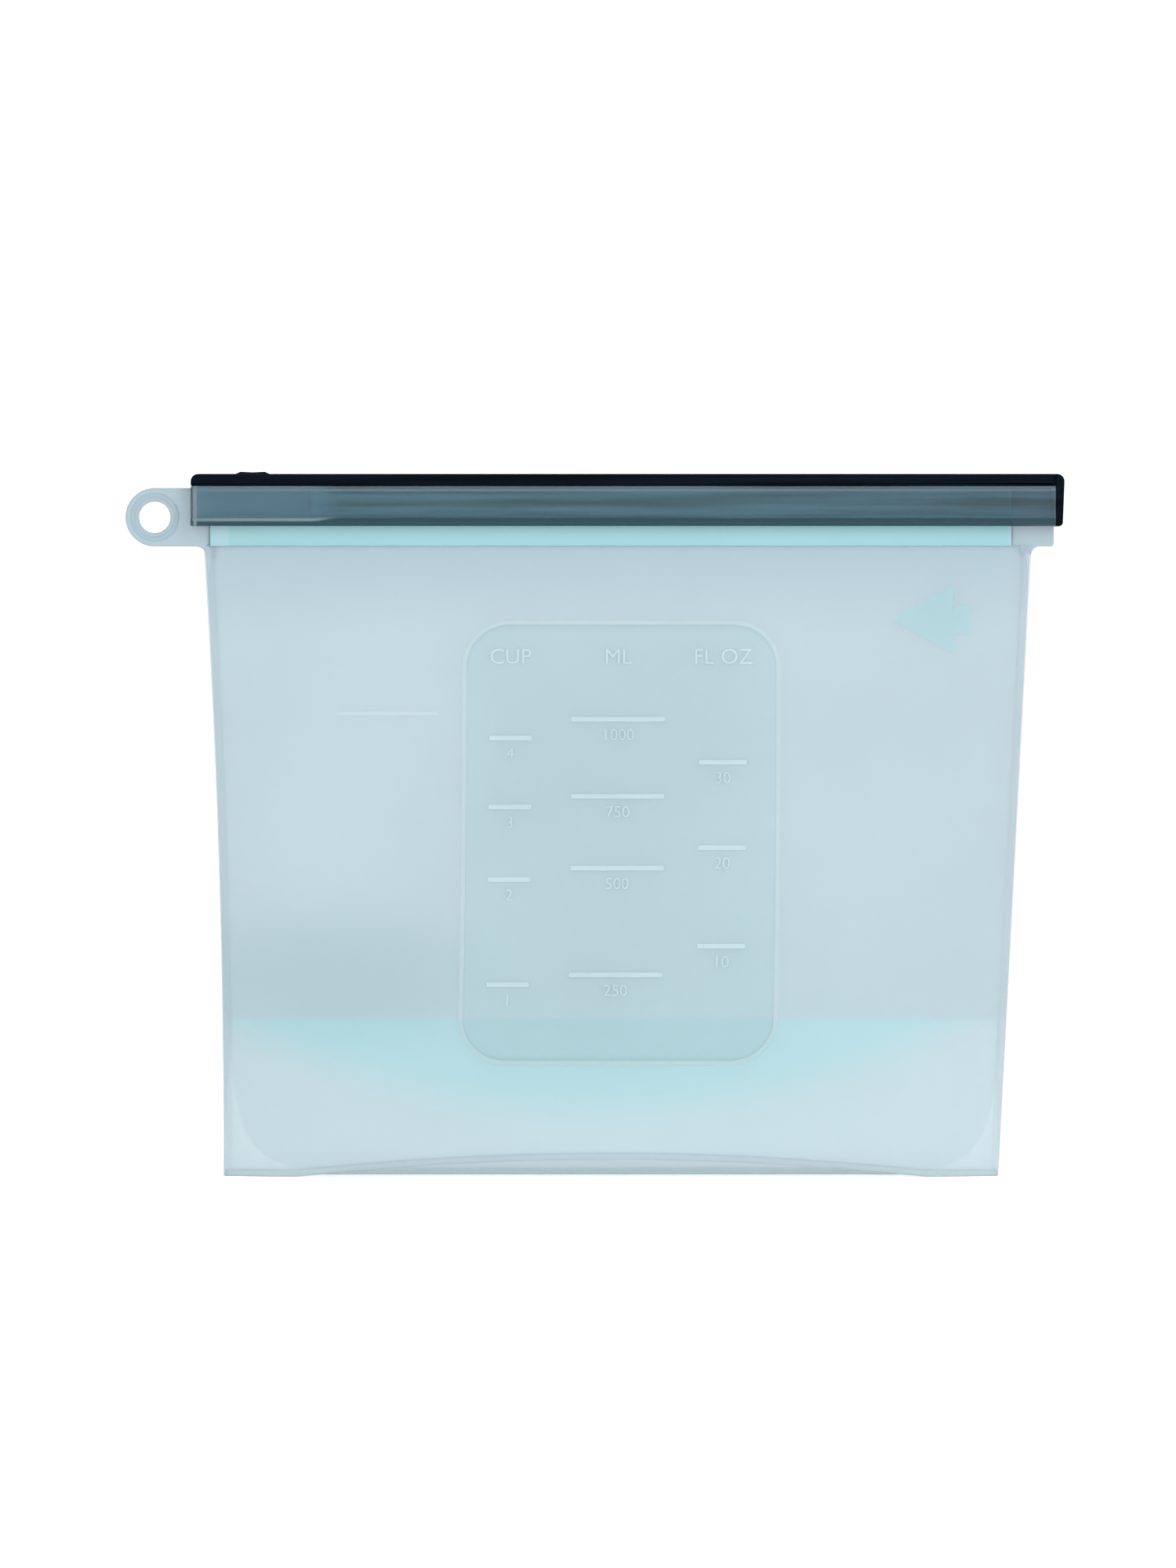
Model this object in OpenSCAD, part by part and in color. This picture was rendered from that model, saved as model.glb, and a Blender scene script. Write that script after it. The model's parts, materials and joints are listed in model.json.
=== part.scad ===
// Reusable silicone storage bag with a folding base gusset and a slide-on closure bar.
// X runs along the bar, the front faces -Y, and the bag stands on the plane Z = 0.
// All sizes are in millimetres and all angles are in degrees.

/* [Overall] */
// Width from the end of the hang tab to the closed end of the bar
overall_w = 240; // [232:1:248]
// Height from the table to the top of the thumb bump
overall_h = 180; // [170:1:190]

/* [Bag] */
// Distance from the end of the hang tab to the left edge of the bag at the rim
rim_inset_left = 20; // [19:0.1:22]
// Distance from the closed end of the bar to the right edge of the bag at the rim
rim_inset_right = 8.2; // [7.8:0.1:10]
// How far the left edge leans in from rim to base
lean_left = 5.1; // [0:0.1:9]
// How far the right edge leans in from rim to base
lean_right = 8.5; // [0:0.1:9]
// Thickness of the front and back walls
wall_t = 1.2; // [1:0.1:1.3]
// Half depth of the standing base, to the middle of the wall
base_half_d = 14.4; // [13.5:0.1:15]
// Width of each corner fold at the base
corner_w = 14; // [12:0.5:18]
// Width of the welded side seams
seam_w = 2.4; // [2:0.1:3]
// Thickness of the welded side seams
seam_t = 2.4; // [2:0.1:2.4]
// Height of the raised bead along the bottom edges
base_bead_h = 1.6; // [1:0.1:2.5]
// How far that bead stands proud
base_bead_proud = 0.5; // [0.3:0.1:0.8]

/* [Front edge arch] */
// Rise of the arch in the bottom edge of the front wall
arch_rise = 4.5; // [2:0.5:8]
// Width of the arch
arch_w = 162; // [120:1:165]

/* [Base gusset] */
// Height of the gusset fold above the table
fold_z = 40; // [38:0.5:46]
// Thickness of the gusset leaves
leaf_t = 1.0; // [0.8:0.1:1]
// Height of the line where each leaf hinges at the foot of its wall
leaf_pivot_z = 1; // [0.8:0.1:2]
// Distance between the middle of a wall and the middle of its leaf at that line
leaf_offset = 1.455; // [1.455:0.01:1.6]
// Distance from the middle of the bag to the middle of a leaf at the fold
fold_half_gap = 0.7; // [0.7:0.05:1]

/* [Rim] */
// Distance from the left edge of the bag to the left end of the lips
lip_inset_left = 1.7; // [0.5:0.1:3]
// Distance from the right edge of the bag to the right end of the lips
lip_inset_right = 5.2; // [3:0.1:8]
// Distance from the left edge of the bag to the start of the bead, where the bar is pushed on
bead_inset = 27.5; // [20:0.5:40]
// Height of the lips
lip_h = 15; // [13:0.5:16]
// Thickness of each lip
lip_t = 2.3; // [2:0.1:2.3]
// Thickness of each lip at its bead, which the bar hooks under
bead_t = 3.8; // [3.4:0.1:3.8]
// Height of the bead
bead_h = 7.3; // [6:0.1:7.3]
// Radius of the sealing rib on the back lip
rib_r = 0.9; // [0.6:0.1:1.1]
// Gap between the rib and the groove that it sits in
rib_gap = 0.1; // [0.05:0.05:0.2]

/* [Hang tab and end tab] */
// Radius of the hole that hangs on a hook
hang_hole_r = 4; // [3:0.5:5]
// Thickness of the hang tab and of the end tab
tab_t = 3; // [2:0.1:4]
// Length of the end tab past the right edge of the bag
end_tab_l = 5.6; // [4:0.1:5.6]

/* [Closure bar] */
// Length of the bar, closed end included
bar_l = 223.2; // [215:0.1:224]
// Thickness of the bar from front to back
bar_d = 11; // [11:0.1:12]
// Height of the solid spine
spine_h = 3.1; // [2.5:0.1:4]
// Height of the two side walls under the spine
bar_wall_h = 10.2; // [10:0.1:11]
// Thickness of the side walls
bar_wall_t = 1.4; // [1:0.1:1.4]
// Height of the inward hooks
hook_h = 2; // [1.5:0.1:2]
// Distance from the middle of the bar to each hook
hook_half_gap = 2.6; // [2.6:0.05:2.8]
// Thickness of the closed end
end_cap_t = 2.2; // [1.4:0.1:2.2]
// Height of the thumb bump above the spine
bump_h = 0.6; // [0.4:0.1:1]
// Length of the thumb bump
bump_l = 9; // [6:0.5:14]
// Distance from the open end of the bar to the bump
bump_inset = 11.3; // [8:0.1:30]

/* [Measuring scale] */
// Left side of the scale window, measured from the middle of the part
window_left = -33.9; // [-40:0.1:-25]
// Width of the scale window
window_w = 81.5; // [76:0.5:90]
// Height of the bottom of the window above the table
window_z = 28.4; // [24:0.1:40]
// Height of the window
window_h = 113.9; // [100:0.1:120]
// Corner radius of the window
window_r = 12; // [6:0.5:20]
// Width of the raised frame round the window
frame_w = 1.8; // [1:0.1:3]
// How far the frame and the scale marks stand proud
relief = 0.4; // [0.2:0.1:0.8]
// Height of each scale mark
mark_h = 1.7; // [1:0.1:2.5]

/* [Hidden] */
$fn = 64;

// Heights
spine_top_z = overall_h - bump_h;
spine_z = spine_top_z - spine_h;
bar_z = spine_z - bar_wall_h;
spine_clearance = 0.4;
lip_top_z = spine_z - spine_clearance;
rim_z = lip_top_z - lip_h;

// Places along X
part_left = -overall_w / 2;
part_right = overall_w / 2;
bar_left = part_right - bar_l;
bar_open_right = part_right - end_cap_t;
rim_left = part_left + rim_inset_left;
rim_right = part_right - rim_inset_right;
lip_left = rim_left + lip_inset_left;
lip_right = rim_right - lip_inset_right;
bead_left = rim_left + bead_inset;
bead_z = lip_top_z - bead_h;
function bag_left(z) = rim_left + lean_left * (1 - z / rim_z);
function bag_right(z) = rim_right - lean_right * (1 - z / rim_z);
arch_x = (bag_left(0) + bag_right(0)) / 2;

// Each wall hangs from a line just under its lip and leans out to the table
hinge_y = 1.8;
hinge_z = rim_z - 0.9;
wall_tilt = atan((base_half_d - hinge_y) / hinge_z);
wall_floor = -hinge_z / cos(wall_tilt);
wall_gap = 0.6;
function up_wall(z) = (z - hinge_z) / cos(wall_tilt);

// Each leaf rises from a line at the foot of its wall to the fold
leaf_pivot_y = base_half_d * (1 - leaf_pivot_z / hinge_z) + hinge_y * leaf_pivot_z / hinge_z
    - leaf_offset / cos(wall_tilt);
leaf_lean = atan((leaf_pivot_y - fold_half_gap) / (fold_z - leaf_pivot_z));
leaf_l = (fold_z - leaf_pivot_z) / cos(leaf_lean);

// Heights of the scale marks above the table, and their left and right ends
cup_z = [111.8, 94.2, 75.7, 48.9];
cup_x = [-27, -16];
ml_z = [116.6, 96.9, 78.6, 51.4];
ml_x = [-6, 18];
oz_z = [105.6, 83.8, 58.7];
oz_x = [26.6, 39];
arrow_at = [76, 142];
arrow_l = 20;
arrow_w = 18;

// Colours
silicone = [0.76, 0.85, 0.88, 0.85];
rim_blue = [0.62, 0.79, 0.82, 0.95];
gusset_blue = [0.66, 0.83, 0.87, 0.9];
smoke = [0.32, 0.43, 0.48, 0.9];
ink = [0.05, 0.08, 0.1];

// A flat shape drawn with X across and Y up, carried along X from x0 to x1 as a Y-Z section
module along_x(x0, x1) {
    translate([x0, 0, 0]) rotate([90, 0, 90]) linear_extrude(x1 - x0) children();
}

// A flat shape drawn with X across and Y up, stood in the X-Z plane and thickened by t each way
module upright(t) {
    translate([0, t, 0]) rotate([90, 0, 0]) linear_extrude(2 * t) children();
}

// Brings a front feature to the back
module to_back() {
    mirror([0, 1, 0]) children();
}

// The middle plane of the front wall: X across, Y up the wall from its hinge line, Z outward
module on_front_wall() {
    translate([0, -hinge_y, hinge_z]) rotate([90 - wall_tilt, 0, 0]) children();
}

module rounded_rect(w, h, r) {
    translate([r, 0]) square([w - 2 * r, h]);
    translate([0, r]) square([w, h - 2 * r]);
    for (x = [r, w - r], y = [r, h - r]) translate([x, y]) circle(r);
}

module above_table() {
    translate([-overall_w, -overall_w, 0]) cube([2 * overall_w, 2 * overall_w, overall_h]);
}

// Section of the bead at the top of one lip, with its inner face on Y = 0
module bead_section() {
    bead_r = 0.8;
    translate([0, bead_z]) square([bead_t - bead_r, bead_h]);
    translate([0, bead_z + bead_r]) square([bead_t, bead_h - 2 * bead_r]);
    for (z = [bead_z + bead_r, lip_top_z - bead_r]) translate([bead_t - bead_r, z]) circle(bead_r);
}

// Section of one lip under its bead
module lip_section() {
    translate([0, rim_z]) square([lip_t, lip_h - bead_h]);
}

rib_z = rim_z + 2.6;

module back_lip() {
    color(rim_blue) {
        along_x(bead_left, lip_right) bead_section();
        along_x(lip_left, lip_right) {
            lip_section();
            translate([0, rib_z]) circle(rib_r);
        }
    }
}

module front_lip() {
    color(rim_blue) {
        along_x(bead_left, lip_right) mirror([1, 0]) bead_section();
        along_x(lip_left, lip_right) difference() {
            mirror([1, 0]) lip_section();
            translate([0, rib_z]) circle(rib_r + rib_gap);
        }
    }
}

module hang_tab() {
    end_r = lip_h / 2;
    color(silicone) upright(tab_t / 2) difference() {
        union() {
            translate([part_left + end_r, rim_z + end_r]) circle(end_r);
            translate([part_left + end_r, rim_z]) square([lip_left - part_left - end_r, lip_h]);
            translate([part_left + end_r, bead_z]) square([bead_left - part_left - end_r, bead_h]);
        }
        translate([part_left + end_r, rim_z + end_r]) circle(hang_hole_r);
    }
}

module end_tab() {
    color(silicone) upright(tab_t / 2) translate([lip_right, rim_z])
        square([lip_inset_right + end_tab_l, lip_h]);
}

module left_seam() {
    color(silicone) upright(seam_t / 2) polygon([
        [bag_left(0), 0], [bag_left(0) + seam_w, 0], [rim_left + seam_w, rim_z], [rim_left, rim_z]
    ]);
}

module right_seam() {
    color(silicone) upright(seam_t / 2) polygon([
        [bag_right(0) - seam_w, 0], [bag_right(0), 0], [rim_right, rim_z], [rim_right - seam_w, rim_z]
    ]);
}

// Three-cornered sheet from a side seam to the corner of the front wall. foot_edge and top_edge are the
// edge of the bag at the table and at the hinge line of the wall, and s is +1 or -1 towards the wall.
module corner_fold(foot_edge, top_edge, s) {
    sheet_y = 1.6;
    seam_clear = 0.15;
    wall_clear = 0.5;
    near_seam = seam_w + seam_clear;
    corners = [
        [foot_edge + s * near_seam, -sheet_y, 0],
        [foot_edge + s * (corner_w - wall_clear), -base_half_d - sheet_y / 2, 0],
        [top_edge + s * near_seam, -hinge_y - sheet_y / 2, hinge_z]
    ];
    hull() polyhedron(
        points = concat(corners, [for (c = corners) c + [0, sheet_y, 0]]),
        faces = [[0, 1, 2], [3, 5, 4], [0, 3, 4, 1], [1, 4, 5, 2], [2, 5, 3, 0]]
    );
}

module front_left_fold() {
    color(silicone) corner_fold(bag_left(0), bag_left(hinge_z), 1);
}

module front_right_fold() {
    color(silicone) corner_fold(bag_right(0), bag_right(hinge_z), -1);
}

module back_left_fold() {
    to_back() front_left_fold();
}

module back_right_fold() {
    to_back() front_right_fold();
}

// Outline of a wall on its own plane, running a little below the table
module wall_outline() {
    wall_foot = wall_floor - wall_t;
    polygon([
        [bag_left(0) + corner_w, wall_foot], [bag_right(0) - corner_w, wall_foot],
        [rim_right - seam_w - wall_gap, 0], [rim_left + seam_w + wall_gap, 0]
    ]);
}

arch_r = arch_w * arch_w / (8 * arch_rise) + arch_rise / 2;

// Disc whose top is the arch in the bottom edge, grown by g
module arch_disc(g) {
    translate([arch_x, wall_floor + arch_rise - arch_r]) circle(arch_r + g, $fn = 360);
}

// Wall with a rounded top on its hinge line, cut flat on the table
module wall(arched) {
    intersection() {
        union() {
            on_front_wall() translate([0, 0, -wall_t / 2]) linear_extrude(wall_t) difference() {
                wall_outline();
                if (arched) arch_disc(0);
            }
            translate([rim_left + seam_w + wall_gap, -hinge_y, hinge_z]) rotate([0, 90, 0])
                cylinder(r = wall_t / 2, h = rim_right - rim_left - 2 * seam_w - 2 * wall_gap);
        }
        above_table();
    }
}

// Bead along the bottom edge, on the outer face of the wall
module base_bead(arched) {
    intersection() {
        on_front_wall() translate([0, 0, wall_t / 2]) linear_extrude(base_bead_proud) difference() {
            intersection() {
                wall_outline();
                union() {
                    translate([bag_left(0), wall_floor - base_bead_h]) square([overall_w, 2 * base_bead_h]);
                    if (arched) arch_disc(base_bead_h);
                }
            }
            if (arched) arch_disc(0);
        }
        above_table();
    }
}

module front_panel() {
    color(silicone) wall(arched = true);
}

module back_panel() {
    color(silicone) to_back() wall(arched = false);
}

module front_base_bead() {
    color(silicone) base_bead(arched = true);
}

module back_base_bead() {
    color(silicone) to_back() base_bead(arched = false);
}

// Raised shape on the outer face of the front wall
module raised() {
    color(silicone) on_front_wall() translate([0, 0, wall_t / 2]) linear_extrude(relief) children();
}

module scale_window() {
    raised() translate([window_left, up_wall(window_z)]) difference() {
        rounded_rect(window_w, window_h, window_r);
        translate([frame_w, frame_w])
            rounded_rect(window_w - 2 * frame_w, window_h - 2 * frame_w, window_r - frame_w);
    }
}

// One column of scale marks between the ends x, at each of the heights
module mark_column(x, heights) {
    raised() for (z = heights) translate([x[0], up_wall(z) - mark_h / 2])
        rounded_rect(x[1] - x[0], mark_h, mark_h / 4);
}

module cup_marks() {
    mark_column(cup_x, cup_z);
}

module ml_marks() {
    mark_column(ml_x, ml_z);
}

module oz_marks() {
    mark_column(oz_x, oz_z);
}

// Plain arrow for the closing direction, pointing left
module arrow_mark() {
    head_l = arrow_l * 0.8;
    stem_w = arrow_w * 0.4;
    raised() translate([arrow_at[0], up_wall(arrow_at[1])]) polygon([
        [0, 0], [head_l, -arrow_w / 2], [head_l, -stem_w / 2], [arrow_l, -stem_w / 2],
        [arrow_l, stem_w / 2], [head_l, stem_w / 2], [head_l, arrow_w / 2]
    ]);
}

// Half of the base gusset, with round edges on its hinge line and at the fold
module gusset_leaf() {
    leaf_gap = 1;
    left = bag_left(0) + corner_w + leaf_gap;
    right = bag_right(0) - corner_w - leaf_gap;
    translate([0, -leaf_pivot_y, leaf_pivot_z]) rotate([-leaf_lean, 0, 0]) along_x(left, right) {
        translate([-leaf_t / 2, 0]) square([leaf_t, leaf_l]);
        for (h = [0, leaf_l]) translate([0, h]) circle(leaf_t / 2);
    }
}

module front_gusset_leaf() {
    color(gusset_blue) gusset_leaf();
}

module back_gusset_leaf() {
    color(gusset_blue) to_back() gusset_leaf();
}

// Outline of the whole bar seen from the front, with rounded ends
module bar_outline() {
    translate([bar_left, bar_z]) rounded_rect(bar_l, spine_top_z - bar_z, 1.2);
}

// Outline of the whole bar seen from its end
module bar_end_outline() {
    translate([-bar_d / 2, bar_z]) rounded_rect(bar_d, spine_top_z - bar_z, 1.2);
}

// The stretch of the bar's envelope from x0 to x1 and from height z0 to z1
module bar_envelope(x0, x1, z0, z1) {
    intersection() {
        upright(bar_d) bar_outline();
        along_x(x0, x1) intersection() {
            bar_end_outline();
            translate([-bar_d, z0]) square([2 * bar_d, z1 - z0]);
        }
    }
}

module bar_spine() {
    color(ink) bar_envelope(bar_left, bar_open_right, spine_z, spine_top_z);
}

module bar_end_cap() {
    color(ink) bar_envelope(bar_open_right, part_right, bar_z, spine_top_z);
}

// Side wall of the bar with the hook that runs under the bead of the lip
module bar_side() {
    hook_r = hook_h / 4;
    foot_w = bar_d / 2 - bar_wall_t - hook_half_gap - hook_r;
    along_x(bar_left, bar_open_right) {
        translate([-bar_d / 2, bar_z + bar_wall_t]) square([bar_wall_t, bar_wall_h - bar_wall_t]);
        translate([-bar_d / 2 + bar_wall_t, bar_z]) square([foot_w, hook_h]);
        translate([-hook_half_gap - hook_r, bar_z + hook_r]) square([hook_r, hook_h - 2 * hook_r]);
        for (z = [hook_r, hook_h - hook_r]) translate([-hook_half_gap - hook_r, bar_z + z]) circle(hook_r);
        intersection() {
            translate([-bar_d / 2 + bar_wall_t, bar_z + bar_wall_t]) circle(bar_wall_t);
            translate([-bar_d / 2, bar_z]) square(bar_wall_t);
        }
    }
}

module bar_front_wall() {
    color(smoke) bar_side();
}

module bar_back_wall() {
    color(smoke) to_back() bar_side();
}

module bar_thumb_bump() {
    bump_d = 6;
    color(ink) along_x(bar_left + bump_inset, bar_left + bump_inset + bump_l)
        translate([-bump_d / 2, spine_top_z]) intersection() {
            translate([0, -bump_h]) rounded_rect(bump_d, 2 * bump_h, bump_h * 0.9);
            square([bump_d, bump_h]);
        }
}

front_lip();
back_lip();
hang_tab();
end_tab();
left_seam();
right_seam();
front_left_fold();
front_right_fold();
back_left_fold();
back_right_fold();
front_panel();
scale_window();
cup_marks();
ml_marks();
oz_marks();
arrow_mark();
front_base_bead();
back_panel();
back_base_bead();
front_gusset_leaf();
back_gusset_leaf();
bar_spine();
bar_front_wall();
bar_back_wall();
bar_end_cap();
bar_thumb_bump();
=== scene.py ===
import json
import math

import bmesh
import bpy
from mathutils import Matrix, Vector


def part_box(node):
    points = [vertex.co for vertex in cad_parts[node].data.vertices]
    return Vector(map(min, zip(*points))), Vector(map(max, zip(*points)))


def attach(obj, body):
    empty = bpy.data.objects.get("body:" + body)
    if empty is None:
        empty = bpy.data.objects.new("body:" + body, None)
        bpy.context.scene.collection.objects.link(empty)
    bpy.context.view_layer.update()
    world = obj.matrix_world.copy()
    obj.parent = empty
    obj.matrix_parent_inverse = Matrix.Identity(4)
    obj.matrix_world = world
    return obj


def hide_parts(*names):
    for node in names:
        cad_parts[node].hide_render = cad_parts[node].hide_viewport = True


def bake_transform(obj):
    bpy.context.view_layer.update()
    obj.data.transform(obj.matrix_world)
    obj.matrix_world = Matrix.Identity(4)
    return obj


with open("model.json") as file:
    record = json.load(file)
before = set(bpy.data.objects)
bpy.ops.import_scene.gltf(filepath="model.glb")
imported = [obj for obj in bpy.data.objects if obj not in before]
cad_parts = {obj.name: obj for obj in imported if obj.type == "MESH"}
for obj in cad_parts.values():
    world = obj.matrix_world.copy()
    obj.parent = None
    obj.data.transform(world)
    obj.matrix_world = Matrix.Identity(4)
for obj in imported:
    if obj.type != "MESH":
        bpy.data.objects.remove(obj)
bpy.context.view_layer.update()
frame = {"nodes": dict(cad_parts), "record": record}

# The bag is worked out in millimetres, which turn into metres where a mesh is made. The camera, the
# materials, the stage and the lights are in metres.
MM = 0.001


def box_mm(node):
    """Lowest and highest corners of a CAD node, in millimetres."""
    lo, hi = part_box(node)
    return lo / MM, hi / MM


# ---------------------------------------------------------------- sizes
# What the frame doesn't say:
SEAM_W = 2.4     # width of a welded side seam
WALL_T = 1.2     # thickness of a wall
LEAF_T = 1.0     # thickness of a gusset leaf
HOOK_H = 2.0     # height of the bar's foot with its hook

# What the frame says:
mounts = {mount["name"]: mount for mount in frame["record"]["mounts"]}
HOLE_R = mounts["hang_hole"]["dims"]["r_mm"]
left_lo, left_hi = box_mm("left_seam")
right_lo, right_hi = box_mm("right_seam")
_, panel_hi = box_mm("back_panel")
_, leaf_hi = box_mm("back_gusset_leaf")
lip_lo, lip_hi = box_mm("back_lip")
tab_lo, tab_hi = box_mm("hang_tab")
ear_lo, ear_hi = box_mm("end_tab")
window_lo, window_hi = box_mm("scale_window")
spine_lo, spine_hi = box_mm("bar_spine")
side_lo, side_hi = box_mm("bar_front_wall")
cap_lo, cap_hi = box_mm("bar_end_cap")
grip_lo, grip_hi = box_mm("bar_thumb_bump")
arrow_lo, arrow_hi = box_mm("arrow_mark")

RIM_Z = left_hi.z
RIM_LEFT = left_lo.x
RIM_RIGHT = right_hi.x
BASE_LEFT = left_hi.x - SEAM_W
BASE_RIGHT = right_lo.x + SEAM_W
BASE_Y = panel_hi.y - WALL_T / 2
FOLD_Z = leaf_hi.z - LEAF_T / 2
BEAD_LEFT = tab_hi.x

# ---------------------------------------------------------------- camera
LENS = 0.300         # long, so that the front shows with almost no perspective
SENSOR = 0.036
VIEW_H = 0.401       # height of the view at the bag
VIEW_X = -0.0017     # the point of the bag's middle plane that the camera faces
VIEW_Z = 0.1002
cam_data = bpy.data.cameras.new("camera")
cam_data.lens = LENS / MM
cam_data.sensor_width = SENSOR / MM
cam_data.clip_start = 0.05
cam_data.clip_end = 50
camera = bpy.data.objects.new("camera", cam_data)
bpy.context.scene.collection.objects.link(camera)
camera.location = (VIEW_X, -VIEW_H / SENSOR * LENS, VIEW_Z)
camera.rotation_euler = (math.radians(90), 0, 0)
bpy.context.scene.camera = camera

# ---------------------------------------------------------------- the shape of the bag
RIM_Y = 1.1          # half distance between the middles of the two walls under the lips
SEAM_Y = 0.75        # the same at the side seams
FOLD_Y = 0.5         # the same for the gusset leaves at the fold
ARCH_RISE = 4.5      # rise of the arch in the bottom edge of the front wall
ARCH_W = 162.0       # width of the same arch
PINCH_TOP = 16.0     # distance from a side seam over which a wall swells to its full depth, at the rim
PINCH_BASE = 44.0    # the same at the base
SWELL_POWER = 2.2    # how quickly it swells
RIPPLE_FADE = 30.0   # distance below the rim over which the ripples fade
FOOT_FADE = 6.0      # distance above the base over which they fade
FOOT_LEVEL = 0.3     # what is left of them at the base
DENT = (-66, 50, 30, 13, 2.6)    # centre x and z, half sizes and depth of the shallow dent


def mix(a, b, t):
    return a + (b - a) * t


def left_x(z):
    return mix(BASE_LEFT, RIM_LEFT, (min(max(z, 0), RIM_Z) / RIM_Z) ** 2)


def right_x(z):
    return mix(BASE_RIGHT, RIM_RIGHT, min(max(z, 0), RIM_Z) / RIM_Z)


def middle_x(z):
    return (left_x(z) + right_x(z)) / 2


def arch_z(x):
    """Height of the front wall's bottom edge at x."""
    t = (x - middle_x(0)) / (ARCH_W / 2)
    return ARCH_RISE * max(0.0, 1 - t * t)


def flat_z(x):
    """Height of the back wall's bottom edge, which is straight."""
    return 0.0


def ripple(x, z):
    """Gentle unevenness of the soft front wall, in millimetres outward."""
    wave = 0.40 * math.sin(x / 24 + 0.8) * math.sin(z / 31 + 0.4)
    wave += 0.25 * math.sin(x / 41 - z / 27)
    cx, cz, sx, sz, dip = DENT
    return wave - dip * math.exp(-((x - cx) / sx) ** 2 - ((z - cz) / sz) ** 2)


def back_ripple(x, z):
    """The same for the back wall, which has no dent."""
    return 0.45 * math.sin(x / 29 - 0.5) * math.sin(z / 35 + 1.1) + 0.2 * math.sin(x / 17 + z / 45)


def swell(x, z):
    """0 at the side seams, 1 over the middle of a wall."""
    edge = min(x - left_x(z), right_x(z) - x)
    t = min(max(edge / mix(PINCH_BASE, PINCH_TOP, z / RIM_Z), 0), 1)
    return 1 - (1 - t) ** SWELL_POWER


def depth(x, z, waves):
    """Distance of the middle of a wall from the middle of the bag."""
    z = min(max(z, 0), RIM_Z)
    full = mix(BASE_Y, RIM_Y, z / RIM_Z)
    level = min(1.0, (RIM_Z - z) / RIPPLE_FADE) * min(1.0, z / FOOT_FADE + FOOT_LEVEL)
    return SEAM_Y + (full - SEAM_Y + waves(x, z) * level) * swell(x, z)


def front_y(x, z):
    return -depth(x, z, ripple)


def back_y(x, z):
    return depth(x, z, back_ripple)


# ---------------------------------------------------------------- mesh helpers
def link(name, mesh, material, smooth=True):
    obj = bpy.data.objects.new(name, mesh)
    bpy.context.scene.collection.objects.link(obj)
    obj.data.materials.append(material)
    for polygon in mesh.polygons:
        polygon.use_smooth = smooth
    return obj


def mesh_from(name, points, faces):
    mesh = bpy.data.meshes.new(name)
    mesh.from_pydata([(x * MM, y * MM, z * MM) for x, y, z in points], [], faces)
    mesh.update()
    return mesh


def grid_faces(columns, rows):
    """Quads of a grid of points stored column by column."""
    return [(c * rows + r, (c + 1) * rows + r, (c + 1) * rows + r + 1, c * rows + r + 1)
            for c in range(columns - 1) for r in range(rows - 1)]


def thicken(obj, thickness, offset=0.0, bevel=0.0, even=True):
    """Gives a sheet its thickness, with rounded edges if bevel is set."""
    solid = obj.modifiers.new("thickness", "SOLIDIFY")
    solid.thickness = thickness * MM
    solid.offset = offset
    solid.use_even_offset = even
    if bevel:
        edge = obj.modifiers.new("edges", "BEVEL")
        edge.width = bevel * MM
        edge.segments = 2
        edge.limit_method = "ANGLE"
        edge.angle_limit = math.radians(50)
    return obj


def sheet(name, grid, thickness, material, point):
    """A soft sheet from point(u, v), with u and v from 0 to 1. grid is the number of points across and up."""
    columns, rows = grid
    points = [point(c / (columns - 1), r / (rows - 1)) for c in range(columns) for r in range(rows)]
    obj = link(name, mesh_from(name, points, grid_faces(columns, rows)), material)
    return thicken(obj, thickness, bevel=thickness * 0.3)


def filled(loops, half_t, bevel):
    """Mesh of a flat outline, drawn in X and Y, thickened each way with rounded edges."""
    curve = bpy.data.curves.new("outline", "CURVE")
    curve.dimensions = "2D"
    curve.fill_mode = "BOTH"
    curve.extrude = (half_t - bevel) * MM
    curve.bevel_depth = bevel * MM
    curve.bevel_resolution = 3
    curve.offset = -bevel * MM
    for loop in loops:
        spline = curve.splines.new("POLY")
        spline.points.add(len(loop) - 1)
        for point, (x, y) in zip(spline.points, loop):
            point.co = (x * MM, y * MM, 0, 1)
        spline.use_cyclic_u = True
    return mesh_of_curve(curve)


def mesh_of_curve(curve, merge=1e-6):
    """Turns a curve or a text into a mesh, and removes it. Points closer than merge become one."""
    obj = bpy.data.objects.new("outline", curve)
    bpy.context.scene.collection.objects.link(obj)
    graph = bpy.context.evaluated_depsgraph_get()
    mesh = bpy.data.meshes.new_from_object(obj.evaluated_get(graph))
    bpy.data.objects.remove(obj)
    bpy.data.curves.remove(curve)
    build = bmesh.new()
    build.from_mesh(mesh)
    bmesh.ops.remove_doubles(build, verts=build.verts, dist=merge)
    bmesh.ops.recalc_face_normals(build, faces=build.faces)
    build.to_mesh(mesh)
    build.free()
    return mesh


def outward(mesh):
    """Turns every face of a closed mesh outwards."""
    build = bmesh.new()
    build.from_mesh(mesh)
    bmesh.ops.recalc_face_normals(build, faces=build.faces)
    build.to_mesh(mesh)
    build.free()
    return mesh


def placed(mesh, place):
    """Moves each point of a closed mesh to place(a, b, c), in millimetres."""
    for vertex in mesh.vertices:
        a, b, c = vertex.co / MM
        vertex.co = Vector(place(a, b, c)) * MM
    mesh.materials.clear()
    return outward(mesh)


def upright(name, loops, y0, y1, bevel, material):
    """Plate with its outline in X and Z, from y0 to y1."""
    mesh = placed(filled(loops, (y1 - y0) / 2, bevel), lambda a, b, c: (a, (y0 + y1) / 2 + c, b))
    return smooth_by_angle(link(name, mesh, material))


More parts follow.
